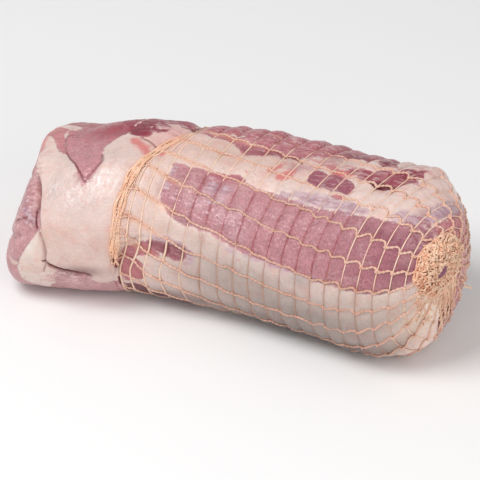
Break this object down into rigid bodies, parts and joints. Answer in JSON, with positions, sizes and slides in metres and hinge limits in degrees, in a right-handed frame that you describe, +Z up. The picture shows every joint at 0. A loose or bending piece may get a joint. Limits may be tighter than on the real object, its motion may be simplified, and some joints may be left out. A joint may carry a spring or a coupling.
{
  "type": "boneless pork loin roast",
  "caption": "Raw boneless rolled loin roast with a fat cap, held over most of its length in an elastic net gathered at one end.",
  "frame": {"origin": "middle of the underside's outline, on the surface that the roast lies on", "axes": "+X along the roast, towards the gathered end of the net; +Z up; -Y towards the loin muscle"},
  "size_m": [0.3115, 0.1398, 0.118],
  "materials": {
    "meat": "raw muscle and fat with a moist sheen",
    "net": "undyed elastic thread"
  },
  "bodies": {
    "root": {"roast": "meat", "netting": "net"}
  },
  "joints": []
}
